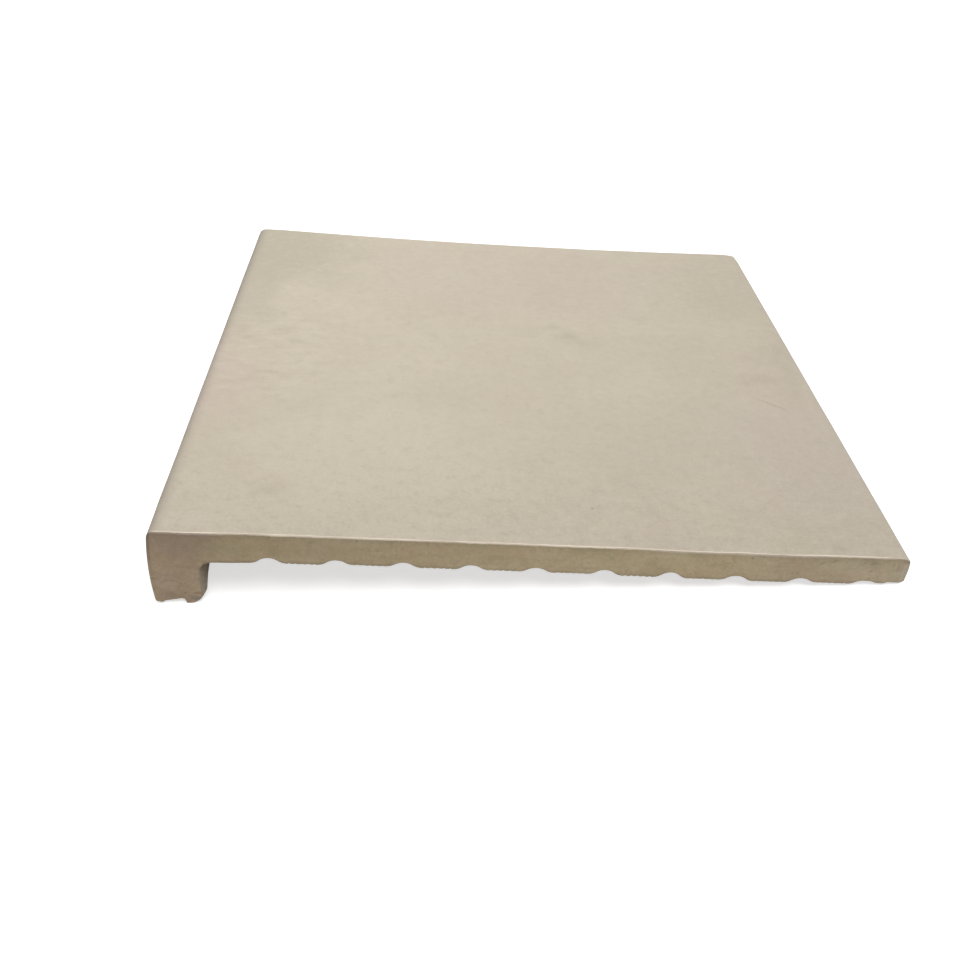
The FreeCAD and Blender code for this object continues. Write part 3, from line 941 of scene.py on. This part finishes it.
def addMarks(tree, place, colour, marks, wobble):
    for mark in marks.values():
        inputs = {"Place": place, "Centre": mark["at"], "Reach": mark["reach"], "Wobble": wobble,
                  "Turn": [math.radians(angle) for angle in mark.get("turn", (0, 0, 0))]}
        mask = useGroup(tree, groups["mark"], inputs)["Mask"]
        colour = mixColour(tree, calc(tree, "MULTIPLY", mask, mark["strength"]), colour, mark["colour"])
    return colour


def addGrain(tree, place, colour, look, tooth):
    inputs = {"Place": place, "Size": look["grain"], "Speck Size": look["speckSize"]}
    grain = useGroup(tree, groups["grain"], inputs)
    tone = calc(tree, "MULTIPLY", grain["Tone"], tooth)
    colour = mixColour(tree, tone, colour, look["valley"], "MULTIPLY")
    specks = calc(tree, "MULTIPLY", grain["Specks"], look["speck"])
    return mixColour(tree, specks, colour, look["speckColour"]), grain["Height"]


def makeSkin():
    look = skinLook
    material, tree, shader, place = startMaterial("firedSkin")
    colour = mottled(tree, place, look)
    wobble = ragged(tree, place, look["wobble"])
    colour = addMarks(tree, place, colour, skinMarks, wobble)
    # short dark and pale strokes run across the tile near the nose
    axes = addNode(tree, "SeparateXYZ", {0: place}).outputs
    strokes = noise(tree, place, look["strokeSize"], detail=4.0, roughness=0.6,
                    stretch=look["strokeStretch"])
    chatter = {"Place": place, "Centre": look["chatterAt"], "Reach": look["chatterReach"],
               "Wobble": wobble}
    amount = span(tree, useGroup(tree, groups["mark"], chatter)["Mask"], 0, 1, 0, look["stroke"])
    # and small blotches lie all over it
    blotches = noise(tree, place, look["blotchSize"], detail=4.0, roughness=0.68)
    spread = span(tree, axes["Y"], *look["nearBand"], look["blotch"], look["nearBlotch"])
    for field, strength in ((blotches, spread), (strokes, amount)):
        dark = calc(tree, "MULTIPLY", span(tree, field, 0.5, 0.3), strength)
        pale = calc(tree, "MULTIPLY", span(tree, field, 0.5, 0.7), strength)
        colour = mixColour(tree, dark, colour, look["strokeDark"])
        colour = mixColour(tree, pale, colour, look["strokePale"])
    # painted shade: the nose's rounded top edge is darker, as it turns from the light
    roll = span(tree, axes["X"], *look["rollShadeBand"])
    colour = mixColour(tree, roll, colour, look["roll"], "MULTIPLY")
    tooth = span(tree, axes["Y"], *look["nearBand"], look["tooth"], look["nearTooth"])
    colour, height = addGrain(tree, place, colour, look, tooth)
    # the eased edge is paler: wear, and a painted highlight where it catches the light
    arris = useGroup(tree, groups["arris"], {"Place": place, "Reach": arrisLook["reach"]})["Mask"]
    colour = mixColour(tree, arris, colour, look["arris"])
    finishMaterial(tree, shader, colour, height, look)
    return material


def makeClay():
    look = clayLook
    material, tree, shader, place = startMaterial("cutClay")
    colour = mottled(tree, place, look)
    drag = noise(tree, place, look["dragSize"], detail=5.0, roughness=0.6, stretch=look["dragStretch"])
    streaks = span(tree, drag, 0.5, 0.72, 0, look["dragTone"])
    colour = mixColour(tree, streaks, colour, look["shade"])
    wobble = ragged(tree, place, look["wobble"])
    colour = addMarks(tree, place, colour, clayMarks, wobble)
    inputs = {"Place": place, "Centre": scraped["at"], "Reach": scraped["reach"],
              "Wobble": calc(tree, "MULTIPLY", wobble, scraped["wobble"])}
    arc = useGroup(tree, groups["mark"], inputs)["Arc"]
    colour = mixColour(tree, calc(tree, "MULTIPLY", arc, scraped["strength"]), colour, scraped["colour"])
    colour, height = addGrain(tree, place, colour, look, look["tooth"])
    axes = addNode(tree, "SeparateXYZ", {0: place}).outputs
    # painted shade, darker towards the nose, which is also rosier
    for band, tint in (("shadeBand", "noseShade"), ("tintBand", "noseTint"), ("rearBand", "rearTint")):
        colour = mixColour(tree, span(tree, axes["X"], *look[band]), colour, look[tint], "MULTIPLY")
    # painted shade: a greyer strip high beside the nose's outer face, which is round and turns from the
    # light
    flat = addNode(tree, "VectorMath", {0: place, 1: (1, 0, 1)}, operation="MULTIPLY").outputs[0]
    middle = (1000 * tile["faceRadius"], 0, 500 * foot)
    reach = addNode(tree, "VectorMath", {0: flat, 1: middle}, operation="DISTANCE").outputs["Value"]
    upper = calc(tree, "MULTIPLY", span(tree, axes["Z"], *look["edgeHeights"]),
                 span(tree, axes["X"], *look["edgeBand"]))
    start, full = [middle[0] - inset for inset in look["edgeInset"]]
    edge = calc(tree, "MULTIPLY", span(tree, reach, start, full), upper)
    colour = mixColour(tree, edge, colour, look["noseEdgeShade"], "MULTIPLY")
    # painted shade: a darker line round the outline; and a band below the arris
    rim = addNode(tree, "Attribute", attribute_name="rim").outputs["Fac"]
    colour = mixColour(tree, span(tree, rim, 0.5, 1.0), colour, look["rim"], "MULTIPLY")
    shaded = span(tree, axes["Z"], *look["underBand"])
    colour = mixColour(tree, shaded, colour, look["underArris"], "MULTIPLY")
    # the eased edge is paler: wear, and a painted highlight where it catches the light
    arris = useGroup(tree, groups["arris"], {"Place": place, "Reach": arrisLook["reach"]})["Mask"]
    colour = mixColour(tree, arris, colour, look["arris"])
    height = calc(tree, "ADD", height, calc(tree, "MULTIPLY", drag, look["dragHeight"]))
    finishMaterial(tree, shader, colour, height, look)
    return material


def makeBack():
    look = backLook
    material, tree, shader, place = startMaterial("combedBack")
    colour = mottled(tree, place, look)
    lines = noise(tree, place, look["lineSize"], detail=4.0, roughness=0.6, stretch=look["lineStretch"])
    hollows = span(tree, lines, 0.45, 0.7, 0, look["lineTone"])
    colour = mixColour(tree, hollows, colour, look["shade"])
    colour = addMarks(tree, place, colour, backMarks, ragged(tree, place, look["wobble"]))
    colour, height = addGrain(tree, place, colour, look, look["tooth"])
    height = calc(tree, "ADD", height, lines)
    finishMaterial(tree, shader, colour, height, look)
    return material


tileObject = drawSection()
gridSection()
report("section drawn and gridded")
extrudeTile(tileObject)
easeArrises(tileObject)
report("extruded and eased")
markRim(tileObject)
finishSurfaces(tileObject)
addSag(tileObject)
lean, place = setDown(tileObject)
report("finished and set down")

groups = {"place": makePlaceGroup(lean, place), "mottle": makeMottleGroup(), "grain": makeGrainGroup(),
          "mark": makeMarkGroup(), "arris": makeArrisGroup()}
paintSlots(tileObject, makeSkin(), makeClay(), makeBack())
tileObject.name = "tread_tile_body"
makeActive(tileObject)
bpy.ops.object.shade_smooth_by_angle(angle=math.radians(32))
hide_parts("tread_tile")
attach(tileObject, "root")
report("materials")


# Floor, light and camera
studio = {
    "floorSize": 8.0,
    "floorColour": (0.70, 0.70, 0.70),
    "floorGlow": 0.64,         # what the camera sees on top of the floor's own light
    "clearFrom": 0.32,         # the floor turns plain white between these distances
    "clearTo": 0.75,
    "ambient": 0.155,
    "broadFrom": (0.23, -0.40, 1.0),    # the way to the broad light, high over the cut face
    "broadAngle": 35.0,
    "broadPower": 1.97,
    "nearPlace": (-0.12, 0.18, 0.55),
    "nearSize": 0.4,
    "nearPower": 1.05,
}
view = {
    "place": (-0.031561, -0.501829, 0.303202),
    "yaw": 1.470,              # degrees towards +X
    "pitch": 35.513,           # degrees downwards
    "roll": -0.459,
    "lens": 38.319,
    "sensor": 36.0,
}


def seesBackdrop(tree):
    # 1 for the camera's own rays and for what gloss and glass show
    rays = addNode(tree, "LightPath").outputs
    shown = calc(tree, "MAXIMUM", rays["Is Glossy Ray"], rays["Is Transmission Ray"])
    return calc(tree, "MAXIMUM", rays["Is Camera Ray"], shown)


def makeFloor():
    deselectAll()
    bpy.ops.mesh.primitive_plane_add(size=studio["floorSize"], location=(0, 0, 0))
    floor = bpy.context.object
    floor.name = "floor"
    material = bpy.data.materials.new("paleFloor")
    material.use_nodes = True
    tree = material.node_tree
    shader = tree.nodes["Principled BSDF"]
    shader.inputs["Base Color"].default_value = (*studio["floorColour"], 1)
    shader.inputs["Roughness"].default_value = 1
    shader.inputs["Specular IOR Level"].default_value = 0
    coordinates = addNode(tree, "TexCoord").outputs["Object"]
    away = addNode(tree, "VectorMath", {0: coordinates}, operation="LENGTH").outputs["Value"]
    glow = span(tree, away, studio["clearFrom"], studio["clearTo"], studio["floorGlow"], 1.0)
    shader.inputs["Emission Color"].default_value = (1, 1, 1, 1)
    tree.links.new(calc(tree, "MULTIPLY", glow, seesBackdrop(tree)), shader.inputs["Emission Strength"])
    # from below the floor is clear and shows the tile's underside
    behind = addNode(tree, "NewGeometry").outputs["Backfacing"]
    clear = addNode(tree, "BsdfTransparent").outputs[0]
    both = addNode(tree, "MixShader", {0: behind, 1: shader.outputs[0], 2: clear}).outputs[0]
    tree.links.new(both, tree.nodes["Material Output"].inputs["Surface"])
    floor.data.materials.append(material)


def makeLight():
    world = bpy.data.worlds.new("studio")
    bpy.context.scene.world = world
    world.use_nodes = True
    tree = world.node_tree
    background = tree.nodes["Background"]
    background.inputs["Color"].default_value = (1, 1, 1, 1)
    strength = span(tree, seesBackdrop(tree), 0, 1, studio["ambient"], 1.0)
    tree.links.new(strength, background.inputs["Strength"])
    deselectAll()
    bpy.ops.object.light_add(type="SUN", location=studio["broadFrom"])
    broad = bpy.context.object
    broad.name = "broadLight"
    broad.data.energy = studio["broadPower"]
    broad.data.angle = math.radians(studio["broadAngle"])
    broad.rotation_euler = Vector(studio["broadFrom"]).to_track_quat("Z", "Y").to_euler()
    bpy.ops.object.light_add(type="AREA", location=studio["nearPlace"])
    near = bpy.context.object
    near.name = "nearLight"
    near.data.size = studio["nearSize"]
    near.data.energy = studio["nearPower"]


def makeCamera():
    deselectAll()
    bpy.ops.object.camera_add(location=view["place"])
    camera = bpy.context.object
    turn = (Matrix.Rotation(-math.radians(view["yaw"]), 3, "Z")
            @ Matrix.Rotation(math.radians(90 - view["pitch"]), 3, "X")
            @ Matrix.Rotation(math.radians(view["roll"]), 3, "Z"))
    camera.rotation_euler = turn.to_euler()
    camera.data.lens = view["lens"]
    camera.data.sensor_width = view["sensor"]
    bpy.context.scene.camera = camera


makeFloor()
makeLight()
makeCamera()
bpy.context.scene.view_settings.view_transform = "Standard"
report("studio")
